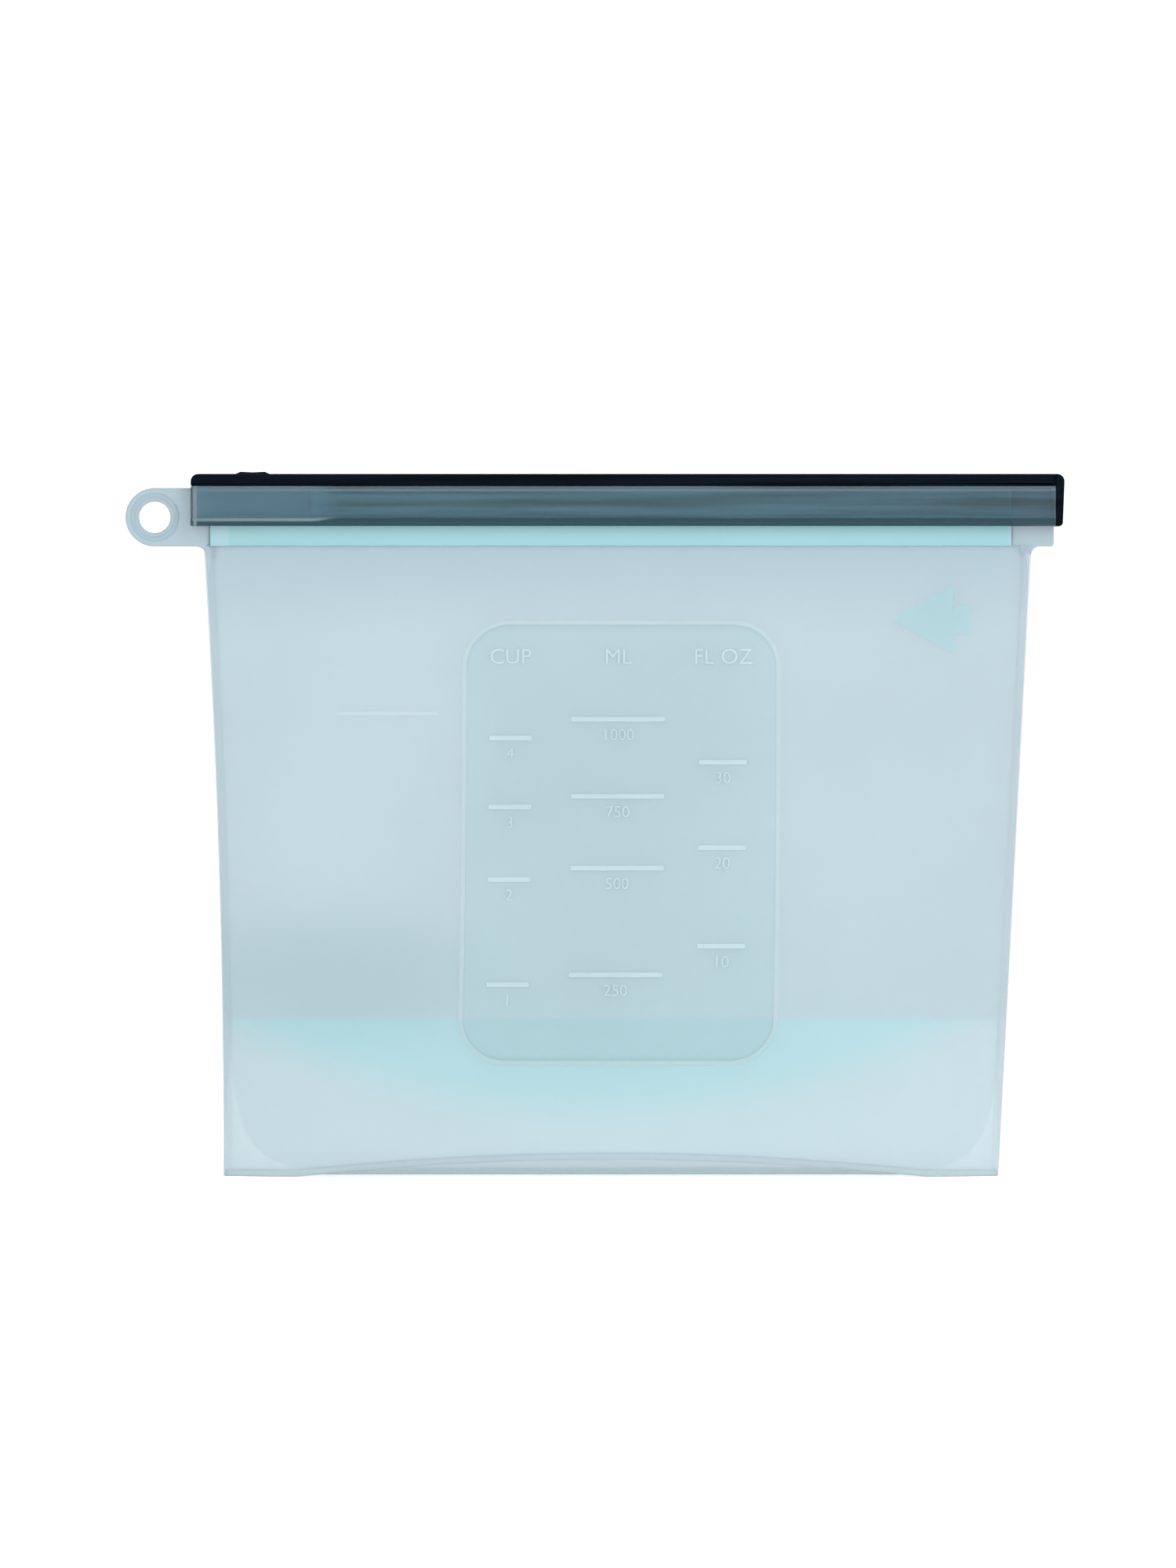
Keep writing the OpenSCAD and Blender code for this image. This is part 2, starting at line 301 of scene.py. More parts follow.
def along_x(name, loops, x0, x1, bevel, material):
    """Bar with its outline in Y and Z, from x0 to x1."""
    mesh = placed(filled(loops, (x1 - x0) / 2, bevel), lambda a, b, c: ((x0 + x1) / 2 + c, a, b))
    return smooth_by_angle(link(name, mesh, material))


SHARP = math.radians(35)


def smooth_by_angle(obj):
    """Smooth shading, with crisp edges where the surface turns by SHARP or more."""
    mesh = obj.data
    build = bmesh.new()
    build.from_mesh(mesh)
    for edge in build.edges:
        edge.smooth = len(edge.link_faces) == 2 and edge.calc_face_angle() < SHARP
    build.to_mesh(mesh)
    build.free()
    return obj


def joined(name, *objects):
    """One piece from several meshes."""
    build = bmesh.new()
    for obj in objects:
        build.from_mesh(obj.data)
    mesh = bpy.data.meshes.new(name)
    build.to_mesh(mesh)
    build.free()
    material = objects[0].data.materials[0]
    for obj in objects:
        bpy.data.objects.remove(obj)
    return smooth_by_angle(link(name, mesh, material))


def rounded_loop(x0, y0, x1, y1, radii, step):
    """Rounded rectangle. radii are those of the corners at (x1, y1), (x0, y1), (x0, y0) and (x1, y0),
    and no side is longer than step."""
    corners = [(x1, y1, -1, -1, 0), (x0, y1, 1, -1, 90), (x0, y0, 1, 1, 180), (x1, y0, -1, 1, 270)]
    loop = []
    for (x, y, sx, sy, start), radius in zip(corners, radii):
        turns = max(1, min(round(radius * 3), 14))
        cx, cy = x + sx * radius, y + sy * radius
        for i in range(turns + 1):
            angle = math.radians(start + 90 * i / turns)
            loop.append((cx + radius * math.cos(angle), cy + radius * math.sin(angle)))
    return spaced(loop, step)


def spaced(loop, step):
    """Adds points so that no side of a closed loop is longer than step."""
    out = []
    for (ax, ay), (bx, by) in zip(loop, loop[1:] + loop[:1]):
        parts = max(1, math.ceil(math.hypot(bx - ax, by - ay) / step))
        out += [(mix(ax, bx, i / parts), mix(ay, by, i / parts)) for i in range(parts)]
    return out


def tube(name, path, radius, material):
    """Round bead along a path, with closed ends."""
    sides = 10
    points = []
    for i, centre in enumerate(path):
        ahead = Vector(path[min(i + 1, len(path) - 1)]) - Vector(path[max(i - 1, 0)])
        side = ahead.normalized().cross(Vector((0, 1, 0))).normalized()
        up = side.cross(ahead.normalized())
        for k in range(sides):
            angle = 2 * math.pi * k / sides
            points.append(Vector(centre) + (side * math.cos(angle) + up * math.sin(angle)) * radius)
    faces = []
    for i in range(len(path) - 1):
        for k in range(sides):
            a, b = i * sides + k, i * sides + (k + 1) % sides
            faces.append((a, b, b + sides, a + sides))
    faces += [tuple(range(sides)), tuple(range(len(points) - sides, len(points)))]
    return link(name, outward(mesh_from(name, points, faces)), material)


# ---------------------------------------------------------------- materials
def new_material(name):
    material = bpy.data.materials.new(name)
    material.use_nodes = True
    tree = material.node_tree
    tree.nodes.clear()
    return material, tree


def node(tree, kind, **settings):
    made = tree.nodes.new(kind)
    for key, value in settings.items():
        setattr(made, key, value)
    return made


def noise(tree, coordinates, scale, detail, roughness=0.5):
    made = node(tree, "ShaderNodeTexNoise")
    made.inputs["Scale"].default_value = scale
    made.inputs["Detail"].default_value = detail
    made.inputs["Roughness"].default_value = roughness
    tree.links.new(coordinates, made.inputs["Vector"])
    return made.outputs["Fac"]


def ramp(tree, factor, stops):
    """Colour that changes between two stops, each a place and a colour."""
    made = node(tree, "ShaderNodeValToRGB")
    for element, (place, colour) in zip(made.color_ramp.elements, stops):
        element.position = place
        element.color = (*colour, 1)
    tree.links.new(factor, made.inputs["Fac"])
    return made.outputs["Color"]


def grey(value):
    return (value, value, value)


def scaled(colour, k):
    return tuple(min(1.0, channel * k) for channel in colour)


def math_node(tree, operation, a, b):
    """a and b are sockets or plain numbers."""
    made = node(tree, "ShaderNodeMath", operation=operation)
    for socket, value in zip(made.inputs, (a, b)):
        if isinstance(value, (int, float)):
            socket.default_value = value
        else:
            tree.links.new(value, socket)
    return made.outputs[0]


def mixed(tree, factor, below, above):
    """Colour that goes from below to above as factor goes from 0 to 1. Each is a socket or a plain colour."""
    made = node(tree, "ShaderNodeMix", data_type="RGBA")
    tree.links.new(factor, made.inputs["Factor"])
    for socket, value in ((made.inputs[6], below), (made.inputs[7], above)):
        if isinstance(value, tuple):
            socket.default_value = (*value, 1)
        else:
            tree.links.new(value, socket)
    return made.outputs[2]


def step_between(tree, value, low, high):
    made = node(tree, "ShaderNodeMapRange", interpolation_type="SMOOTHSTEP")
    made.inputs["From Min"].default_value = low
    made.inputs["From Max"].default_value = high
    tree.links.new(value, made.inputs["Value"])
    return made.outputs["Result"]


def band_between(tree, value, low, high, soft):
    """1 between low and high, falling to 0 over soft on each side."""
    rise = step_between(tree, value, low - soft, low)
    fall = step_between(tree, value, high, high + soft)
    return math_node(tree, "SUBTRACT", rise, fall)


def bumped(tree, height, strength, distance, normal=None):
    """Surface direction over small bumps, on top of another one if normal is given."""
    made = node(tree, "ShaderNodeBump")
    made.inputs["Strength"].default_value = strength
    made.inputs["Distance"].default_value = distance
    tree.links.new(height, made.inputs["Height"])
    if normal is not None:
        tree.links.new(normal, made.inputs["Normal"])
    return made.outputs["Normal"]


def shade_with(tree, shader, opacity):
    """Ends a material with its shader, which lets the rest of the light straight through."""
    out = node(tree, "ShaderNodeOutputMaterial")
    if opacity == 1:
        tree.links.new(shader.outputs[0], out.inputs["Surface"])
        return
    clear = node(tree, "ShaderNodeBsdfTransparent")
    join = node(tree, "ShaderNodeMixShader")
    join.inputs["Fac"].default_value = opacity
    tree.links.new(clear.outputs[0], join.inputs[1])
    tree.links.new(shader.outputs[0], join.inputs[2])
    tree.links.new(join.outputs[0], out.inputs["Surface"])


CLOUD_SCALE = 14         # clouds of a few centimetres
CLOUD = 0.04             # how much the colour varies from cloud to cloud
UNEVEN_SCALE = 120       # unevenness of about a centimetre
UNEVEN_H = 0.0004
GRAIN_SCALE = 2600       # moulded grain, a fraction of a millimetre
GRAIN_H = 0.00006
DULL = 0.36              # roughness of the silicone, from and to
DULLEST = 0.48
# Heights between which painted shade darkens the walls towards the lips.
TOP_SHADE_LOW = 0.135
TOP_SHADE_HIGH = 0.160
# Where the colour of a lip's ends starts, from its left and right end, and how softly.
LIP_START = 0.005
LIP_END = 0.0012
LIP_SOFT = 0.0006
# The weld between wall and gusset leaf ends at the height z = WELD_LOW + WELD_CURVE * x * x.
WELD_CURVE = 2.6
WELD_LOW = 0.010
WELD_HIGH = 0.024
# Heights between which painted shade darkens the back gusset leaf towards the bottom edge.
FOOT_SHADE_LOW = 0.0045
FOOT_SHADE_HIGH = 0.0065
# Size of the soft patch of painted shade over the dent, as a multiple of the dent's.
SHADE_SIZE = 2.0


def silicone(name, colour, opacity, weld=None, foot=None, shade=None, top=None, ends=None, glow=0.0):
    """Milky translucent silicone: cloudy colour, faint moulded grain, and layers behind it showing through.
    weld is the paler colour below the curved weld line of the gusset, shade that of a soft patch of painted
    shade over the dent, foot that of painted shade along the bottom edge, top that of painted shade just
    under the lips, and ends that at both ends of a lip.
    glow stands for the light that scatters inside a sheet which other sheets shade."""
    material, tree = new_material(name)
    coordinates = node(tree, "ShaderNodeTexCoord").outputs["Object"]
    clouds = noise(tree, coordinates, CLOUD_SCALE, 3)
    tint = ramp(tree, clouds, [(0.3, scaled(colour, 1 - CLOUD)), (0.7, scaled(colour, 1 + CLOUD))])
    axes = node(tree, "ShaderNodeSeparateXYZ")
    tree.links.new(coordinates, axes.inputs[0])
    # Painted shade on the walls just under the lips.
    if top is not None:
        tint = mixed(tree, step_between(tree, axes.outputs["Z"], TOP_SHADE_LOW, TOP_SHADE_HIGH), tint, top)
    if ends is not None:
        first, last = lip_lo.x * MM + LIP_START, lip_hi.x * MM - LIP_END
        middle = band_between(tree, axes.outputs["X"], first, last, LIP_SOFT)
        tint = mixed(tree, middle, ends, tint)
    if weld is not None:
        across = math_node(tree, "MULTIPLY", axes.outputs["X"], axes.outputs["X"])
        curve = math_node(tree, "MULTIPLY", across, WELD_CURVE)
        level = math_node(tree, "SUBTRACT", axes.outputs["Z"], curve)
        tint = mixed(tree, step_between(tree, level, WELD_LOW, WELD_HIGH), weld, tint)
    # Painted shade along the bottom edge, seen under the arch of the front wall.
    if foot is not None:
        tint = mixed(tree, step_between(tree, axes.outputs["Z"], FOOT_SHADE_LOW, FOOT_SHADE_HIGH), foot, tint)
    # Painted shade: a soft dark patch over the dent in the front wall.
    if shade is not None:
        cx, cz, sx, sz, _ = DENT
        shift = node(tree, "ShaderNodeMapping", vector_type="TEXTURE")
        shift.inputs["Location"].default_value = (cx * MM, -BASE_Y * MM, cz * MM)
        shift.inputs["Scale"].default_value = (SHADE_SIZE * sx * MM, 1.0, SHADE_SIZE * sz * MM)
        tree.links.new(coordinates, shift.inputs["Vector"])
        ball = node(tree, "ShaderNodeTexGradient", gradient_type="SPHERICAL")
        tree.links.new(shift.outputs["Vector"], ball.inputs["Vector"])
        tint = mixed(tree, step_between(tree, ball.outputs["Fac"], 0.0, 0.9), tint, shade)
    grain = noise(tree, coordinates, GRAIN_SCALE, 2, 0.6)
    soft = noise(tree, coordinates, UNEVEN_SCALE, 3)
    grained = bumped(tree, grain, 0.10, GRAIN_H)
    wavy = bumped(tree, soft, 0.25, UNEVEN_H, grained)
    shader = node(tree, "ShaderNodeBsdfPrincipled")
    tree.links.new(tint, shader.inputs["Base Color"])
    rough = ramp(tree, soft, [(0.3, grey(DULL)), (0.7, grey(DULLEST))])
    tree.links.new(rough, shader.inputs["Roughness"])
    tree.links.new(wavy, shader.inputs["Normal"])
    shader.inputs["Specular IOR Level"].default_value = 0.3
    if glow:
        tree.links.new(tint, shader.inputs["Emission Color"])
        shader.inputs["Emission Strength"].default_value = glow
    shade_with(tree, shader, opacity)
    return material


# The painted highlight lines on the smoky walls: from and to, how soft their edges are, and their colour.
LOW_LINE = (0.0003, 0.0007)     # above the foot
END_LINE = (0.0009, 0.0014)     # from the open end
TOP_LINE = (0.0012, 0.0008)     # below the top
LINE_SOFT = 0.0003
BAR_HIGHLIGHT = (0.20, 0.26, 0.29)
BEAD_FADE = 0.008               # length over which the painted reflection on the wall fades out, where the thick bead starts behind it
FOOT_DROP = 0.0009              # how much lower the foot's edge looks where there is no bead
FOOT_SOFT = 0.0002
DARK_END = (0.0004, 0.0007)     # dark edge of the open end
# Painted reflection streaks, drawn out along the bar, and fine scratches.
ALONG_BAR_STRETCH = (9, 60, 260)
STREAK_SCALE = 2.0
SCRATCH_SCALE = 8.0
SCRATCH_H = 0.00005


def add_foot_and_highlights(tree, coordinates, tint, colour, hook):
    """Colour of a smoky wall with its thick foot, dark as hook, painted lighter as a painted reflection where
    no bead is behind it, and painted highlight lines at its open end.
    """
    axes = node(tree, "ShaderNodeSeparateXYZ")
    tree.links.new(coordinates, axes.inputs[0])
    x, z = axes.outputs["X"], axes.outputs["Z"]
    start, bead_start = side_lo.x * MM, BEAD_LEFT * MM
    foot, head = side_lo.z * MM, side_hi.z * MM
    no_bead = math_node(tree, "SUBTRACT", 1.0, step_between(tree, x, bead_start, bead_start + BEAD_FADE))
    # Painted reflection: the wall is painted lighter where no bead is behind it.
    tint = mixed(tree, math_node(tree, "MULTIPLY", no_bead, 0.5), tint, scaled(colour, 2.0))
    drop = math_node(tree, "MULTIPLY", no_bead, FOOT_DROP)
    over_foot = math_node(tree, "SUBTRACT", z, math_node(tree, "SUBTRACT", foot + HOOK_H * MM, drop))
    tint = mixed(tree, step_between(tree, over_foot, -FOOT_SOFT, FOOT_SOFT), hook, tint)
    # Painted highlights along the foot, the open end and the top of the wall.
    low_line = math_node(tree, "MULTIPLY", band_between(tree, over_foot, *LOW_LINE, LINE_SOFT), no_bead)
    end_line = band_between(tree, x, start + END_LINE[0], start + END_LINE[1], LINE_SOFT)
    top_line = band_between(tree, z, head - TOP_LINE[0], head - TOP_LINE[1], LINE_SOFT)
    top_line = math_node(tree, "MULTIPLY", top_line, 0.7)
    lines = math_node(tree, "MAXIMUM", low_line, math_node(tree, "MAXIMUM", end_line, top_line))
    tint = mixed(tree, math_node(tree, "MULTIPLY", lines, 0.8), tint, BAR_HIGHLIGHT)
    return mixed(tree, step_between(tree, x, start + DARK_END[0], start + DARK_END[1]), hook, tint)


def plastic(name, colour, gloss, opacity=1.0, specular=0.4, hook=None):
    """Moulded plastic with painted reflection streaks along it and fine scratches. gloss is how rough it is,
    and hook the darker colour of the foot of a smoky wall."""
    material, tree = new_material(name)
    coordinates = node(tree, "ShaderNodeTexCoord").outputs["Object"]
    stretch = node(tree, "ShaderNodeMapping")
    stretch.inputs["Scale"].default_value = ALONG_BAR_STRETCH
    tree.links.new(coordinates, stretch.inputs["Vector"])
    # Painted reflection streaks along the bar.
    reflection_streaks = noise(tree, stretch.outputs["Vector"], STREAK_SCALE, 3)
    tint = ramp(tree, reflection_streaks, [(0.35, scaled(colour, 0.6)), (0.65, scaled(colour, 1.4))])
    if hook is not None:
        tint = add_foot_and_highlights(tree, coordinates, tint, colour, hook)
    fine = noise(tree, stretch.outputs["Vector"], SCRATCH_SCALE, 2)
    shader = node(tree, "ShaderNodeBsdfPrincipled")
    tree.links.new(tint, shader.inputs["Base Color"])
    rough = ramp(tree, fine, [(0.3, grey(gloss * 0.8)), (0.7, grey(gloss * 1.3))])
    tree.links.new(rough, shader.inputs["Roughness"])
    tree.links.new(bumped(tree, fine, 0.10, SCRATCH_H), shader.inputs["Normal"])
    shader.inputs["Specular IOR Level"].default_value = specular
    shade_with(tree, shader, opacity)
    return material


# Both walls carry painted shade just under the lips, and the front wall a soft patch of painted shade over
# its dent.
WALL = silicone("silicone_wall", (0.468, 0.592, 0.642), 0.42,
                shade=(0.38, 0.52, 0.57), top=(0.40, 0.53, 0.60))
BACK = silicone("silicone_back", (0.44, 0.57, 0.62), 0.50, top=(0.38, 0.51, 0.58))
GUSSET = silicone("silicone_gusset", (0.48, 0.98, 1.0), 0.34, weld=(0.85, 0.92, 0.93), glow=0.20)
# The back leaf also carries painted shade along its bottom edge.
BACK_GUSSET = silicone("silicone_back_gusset", (0.48, 0.98, 1.0), 0.34, weld=(0.85, 0.92, 0.93),
                       foot=(0.68, 0.74, 0.77), glow=0.20)
RIM = silicone("silicone_rim", (0.33, 0.58, 0.63), 0.75, ends=(0.38, 0.59, 0.65))
EDGE = silicone("silicone_edge", (0.52, 0.62, 0.67), 0.45)
# The right seam is painted lighter than the left one: painted light, as if falling on it from the right.
LIT_RIGHT_EDGE = silicone("silicone_lit_right_edge", (0.64, 0.66, 0.71), 0.45)
TAB = silicone("silicone_tab", (0.355, 0.465, 0.525), 0.75)
WINDOW = silicone("silicone_window", (0.49, 0.70, 0.75), 0.20)
ARROW = silicone("silicone_arrow", (0.42, 0.70, 0.74), 0.26)
BORDER = silicone("silicone_frame", (0.66, 0.78, 0.82), 0.20)
RELIEF = silicone("silicone_relief", (0.68, 0.86, 0.90), 0.38)
SMOKE = plastic("bar_smoke", (0.039, 0.095, 0.132), 0.22, opacity=0.50, hook=(0.004, 0.028, 0.042))
HOOK = plastic("bar_hook", (0.035, 0.08, 0.10), 0.22, opacity=0.72, hook=(0.004, 0.042, 0.064))
BLACK = plastic("bar_black", (0.0025, 0.005, 0.009), 0.3, specular=0.02)


def finished(nodes):
    """Hides the CAD nodes that a piece stands for."""
    if nodes:
        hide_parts(*nodes)


def follow_front(obj, slot, *nodes):
    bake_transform(obj)
    finished(nodes)


def follow_back(obj, slot, *nodes):
    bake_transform(obj)
    finished(nodes)


def follow(obj, body, slot, *nodes):
    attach(obj, body)
    finished(nodes)


# ---------------------------------------------------------------- walls
TUCK = 0.6               # how far a wall runs up into the lips
WALL_INSET = 0.4         # how far inside the outer edge of its seam a wall ends
WALL_GRID = (110, 84)


def wall_point(u, v, bottom, surface):
    foot = bottom(mix(BASE_LEFT, BASE_RIGHT, u))
    z = mix(foot, RIM_Z + TUCK, v)
    x = mix(left_x(z) + WALL_INSET, right_x(z) - WALL_INSET, u)
    return x, surface(x, z), z


front_wall = sheet("front_wall_sheet", WALL_GRID, WALL_T, WALL,
                   lambda u, v: wall_point(u, v, arch_z, front_y))
follow_front(front_wall, "silicone_panel", "front_panel", "front_left_fold", "front_right_fold")
back_wall = sheet("back_wall_sheet", WALL_GRID, WALL_T, BACK,
                  lambda u, v: wall_point(u, v, flat_z, back_y))
follow_back(back_wall, "silicone_panel", "back_panel", "back_left_fold", "back_right_fold")

# ---------------------------------------------------------------- base gusset
LEAF_CLEAR = 1.15        # distance between the middles of a wall and its leaf at the foot
LEAF_INSET = 0.5         # how far inside the outer edge of its seam a leaf ends
LEAF_RAISE = 0.3         # how far above the wall's bottom edge it starts
LEAF_BOW = 0.35          # how far it bows outwards between its foot and the fold
LEAF_POWER = 0.92        # a little steeper near its foot
LEAF_NEAR = 0.1          # nearest that it comes to the middle plane
LEAF_GRID = (96, 26)


def leaf_point(u, v, bottom, surface, side):
    """side is -1 for the front leaf and 1 for the back leaf."""
    foot = bottom(mix(BASE_LEFT, BASE_RIGHT, u)) + LEAF_RAISE
    z = mix(foot, FOLD_Z, v)
    x = mix(left_x(z) + LEAF_INSET, right_x(z) - LEAF_INSET, u)
    outer = abs(surface(x, foot)) - LEAF_CLEAR * swell(x, foot)
    bow = LEAF_BOW * math.sin(math.pi * v) * swell(x, z)
    y = mix(outer, FOLD_Y, v ** LEAF_POWER) + bow
    return x, side * max(y, LEAF_NEAR), z


front_leaf = sheet("front_gusset_sheet", LEAF_GRID, LEAF_T, GUSSET,
                   lambda u, v: leaf_point(u, v, arch_z, front_y, -1))
follow_front(front_leaf, "silicone_gusset", "front_gusset_leaf")
back_leaf = sheet("back_gusset_sheet", LEAF_GRID, LEAF_T, BACK_GUSSET,
                  lambda u, v: leaf_point(u, v, flat_z, back_y, 1))
follow_back(back_leaf, "silicone_gusset", "back_gusset_leaf")

# ---------------------------------------------------------------- bottom beads and side seams
FOOT_R = 0.95            # radius of the bead along a bottom edge
FOOT_INSET = 0.9         # how far inside the side seams it ends
FOOT_COUNT = 120
SEAM_HALF_T = 1.45       # half thickness of a side seam
SEAM_R = 0.9             # radius of its rounded edges
SEAM_ROWS = 60


def foot_path(bottom, surface):
    """Middle of the bead along the bottom edge of a wall."""
    path = []
    for i in range(FOOT_COUNT):
        x = mix(BASE_LEFT + FOOT_INSET, BASE_RIGHT - FOOT_INSET, i / (FOOT_COUNT - 1))
        z = bottom(x) + FOOT_R
        path.append((x, surface(x, z), z))
    return path


front_bead = tube("front_base_bead_roll", foot_path(arch_z, front_y), FOOT_R, EDGE)
follow_front(front_bead, "silicone_edge", "front_base_bead")
back_bead = tube("back_base_bead_roll", foot_path(flat_z, back_y), FOOT_R, EDGE)
follow_back(back_bead, "silicone_edge", "back_base_bead")


def seam(name, edge_x, inward, material, cad_node):
    """Welded side seam: a rounded strip that follows the edge of the bag. inward is 1 on the left side and
    -1 on the right side."""
    section = rounded_loop(0, -SEAM_HALF_T, SEAM_W, SEAM_HALF_T, (SEAM_R,) * 4, step=1.2)
    points = []
    for r in range(SEAM_ROWS):
        z = mix(0, RIM_Z, r / (SEAM_ROWS - 1))
        points += [(edge_x(z) + inward * a, b, z) for a, b in section]
    n = len(section)
    faces = [(r * n + k, r * n + (k + 1) % n, (r + 1) * n + (k + 1) % n, (r + 1) * n + k)
             for r in range(SEAM_ROWS - 1) for k in range(n)]
    faces += [tuple(range(n)), tuple(range(len(points) - n, len(points)))]
    mesh = outward(mesh_from(name, points, faces))
    follow(smooth_by_angle(link(name, mesh, material)), "root", "silicone_edge", cad_node)


seam("left_seam_strip", left_x, 1, EDGE, "left_seam")
seam("right_seam_strip", right_x, -1, LIT_RIGHT_EDGE, "right_seam")

# ---------------------------------------------------------------- lips
LIP_T = 2.3              # thickness of a lip under its bead
BEAD_H = 7.3             # height of the bead that the bar grips
LIP_BEVEL = 0.3
# Corner radii: outer upper, inner upper, inner lower and outer lower.
BAND_RADII = (0.05, 0.05, 0.1, 0.7)
BEAD_RADII = (1.2, 0.1, 0.1, 1.0)
LIP_OVERLAP = 0.2        # how far the band runs up into the bead
bead_z = lip_hi.z - BEAD_H
bead_t = lip_hi.y


def lip(name, side, cad_node):
    """Lip with its bead. side is -1 for the front and 1 for the back."""
    band = rounded_loop(0, lip_lo.z, LIP_T, bead_z + LIP_OVERLAP, BAND_RADII, step=20)
    bead = rounded_loop(0, bead_z, bead_t, lip_hi.z, BEAD_RADII, step=20)
    parts = []
    for loop, start in ((band, lip_lo.x), (bead, BEAD_LEFT)):
        loop = [(side * y, z) for y, z in loop]
        parts.append(along_x("part", [loop], start, lip_hi.x, LIP_BEVEL, RIM))
    follow(joined(name, *parts), "root", "silicone_rim", cad_node)


lip("front_lip_band", -1, "front_lip")
lip("back_lip_band", 1, "back_lip")

# ---------------------------------------------------------------- hang tab and end tab
tab_r = (tab_hi.z - tab_lo.z) / 2
tab_centre = (tab_lo.x + tab_r, (tab_lo.z + tab_hi.z) / 2)
TAB_FILLET = 3.0     # round corner between a tab and the side of the bag
TAB_EASE = 0.9       # how far that corner reaches in past the side of the bag
TAB_REACH = 3.2      # how far the tabs run in behind the side seams
TAB_STEP = 0.2       # how much the ring round the hole stands proud
TAB_BEVEL = 0.9
RING_BEVEL = 0.45
RING_IN = 0.9        # distance of the ring from the hole
RING_OUT = 1.2       # distance of the ring from the edge of the tab


def arc(centre, radius, start, end, count):
    """Points on an arc between two angles in degrees."""
    angles = [math.radians(mix(start, end, i / count)) for i in range(count + 1)]
    return [(centre[0] + radius * math.cos(a), centre[1] + radius * math.sin(a)) for a in angles]


def circle(centre, radius):
    """Closed loop of 60 points."""
    return arc(centre, radius, 0, 354, 59)


tab_outline = arc(tab_centre, tab_r, 90, 270, 40)
tab_outline += arc((RIM_LEFT - TAB_FILLET + TAB_EASE, tab_lo.z - TAB_FILLET), TAB_FILLET, 90, 10, 10)
tab_outline += [(RIM_LEFT + TAB_REACH, tab_lo.z - TAB_FILLET), (RIM_LEFT + TAB_REACH, tab_lo.z),
                (lip_lo.x, tab_lo.z), (lip_lo.x, bead_z), (BEAD_LEFT, bead_z), (BEAD_LEFT, tab_hi.z)]
tab_plate = upright("tab_plate", [tab_outline, circle(tab_centre, HOLE_R)],
                    tab_lo.y + TAB_STEP, tab_hi.y - TAB_STEP, TAB_BEVEL, TAB)
tab_ring = upright("tab_ring", [circle(tab_centre, tab_r - RING_OUT), circle(tab_centre, HOLE_R + RING_IN)],
                   tab_lo.y, tab_hi.y, RING_BEVEL, TAB)
follow(joined("hang_tab_plate", tab_plate, tab_ring), "root", "silicone_edge", "hang_tab")

EAR_FILLET = 2.2         # round corner between the end tab and the side of the bag
EAR_EASE = 2.0           # how far the centre of that corner is outside the side of the bag
EAR_R = 0.8              # rounded outer corners of the end tab
ear_under = ear_lo.z - EAR_FILLET
ear_root = RIM_RIGHT - TAB_REACH
ear_outline = [(ear_lo.x, ear_lo.z), (ear_root, ear_lo.z), (ear_root, ear_under)]
ear_outline += arc((RIM_RIGHT + EAR_EASE, ear_under), EAR_FILLET, 175, 90, 8)
ear_outline += arc((ear_hi.x - EAR_R, ear_lo.z + EAR_R), EAR_R, 270, 360, 6)
ear_outline += arc((ear_hi.x - EAR_R, ear_hi.z - EAR_R), EAR_R, 0, 90, 6)
ear_outline += [(ear_lo.x, ear_hi.z)]
ear = upright("end_tab_plate", [ear_outline], ear_lo.y, ear_hi.y, RING_BEVEL, TAB)
follow(ear, "root", "silicone_edge", "end_tab")

# ---------------------------------------------------------------- measuring scale
RELIEF_H = 0.45          # height of the marks
TEXT_H = RELIEF_H * 0.8
WINDOW_R = 12.0          # round corner of the scale's frame
BORDER_W = 1.3           # width of that frame
BORDER_H = RELIEF_H * 0.7
BORDER_BEVEL = 0.25
FIELD_INSET = 1.2        # the polished field inside the frame starts this far from its outer edge
FIELD_H = 0.08
FIELD_ROWS = 50


def lean(x, z):
    """The scale follows the lean of the bag's own middle line."""
    return x + middle_x(z) - middle_x(window_hi.z)


def on_front(mesh):
    """Lays a flat mesh, drawn in X and Z, on the middle of the front wall."""
    for vertex in mesh.vertices:
        x, _, z = vertex.co / MM
        x = lean(x, z)
        vertex.co = Vector((x, front_y(x, z), z)) * MM
    return mesh


def raise_relief(obj, height, bevel, *nodes):
    """Thickens a flat shape outwards from the middle of the wall, so that it bends just as the wall does."""
    thicken(obj, WALL_T / 2 + height, offset=1.0, bevel=bevel, even=bevel > 0)
    follow_front(obj, "silicone_relief", *nodes)


def face_front(mesh):
    """Turns every face towards the front."""
    build = bmesh.new()
    build.from_mesh(mesh)
    build.normal_update()
    for face in build.faces:
        if face.normal.y > 0:
            face.normal_flip()
    build.to_mesh(mesh)
    build.free()
    return mesh


def span_mesh(name, spans, rows):
    """Flat mesh from columns given as (x, lowest z, highest z)."""
    points = [(x, 0, mix(z0, z1, r / (rows - 1))) for x, z0, z1 in spans for r in range(rows)]
    return mesh_from(name, points, grid_faces(len(spans), rows))


def window_loop(inset):
    """Outline of the scale's frame, moved inwards, with points along its straight sides too."""
    radii = (WINDOW_R - inset,) * 4
    loop = rounded_loop(window_lo.x + inset, window_lo.z + inset, window_hi.x - inset, window_hi.z - inset,
                        radii, step=400)
    out = []
    for (ax, az), (bx, bz) in zip(loop, loop[1:] + loop[:1]):
        parts = 24 if math.hypot(bx - ax, bz - az) > 20 else 1
        out += [(mix(ax, bx, i / parts), mix(az, bz, i / parts)) for i in range(parts)]
    return out


def window_frame(name, material, height, bevel, *nodes):
    """Raised line round the scale."""
    outer, inner = window_loop(0.0), window_loop(BORDER_W)
    n = len(outer)
    points = [(x, 0, z) for x, z in outer + inner]
    faces = [(k, (k + 1) % n, n + (k + 1) % n, n + k) for k in range(n)]
    obj = link(name, face_front(on_front(mesh_from(name, points, faces))), material)
    raise_relief(obj, height, bevel, *nodes)


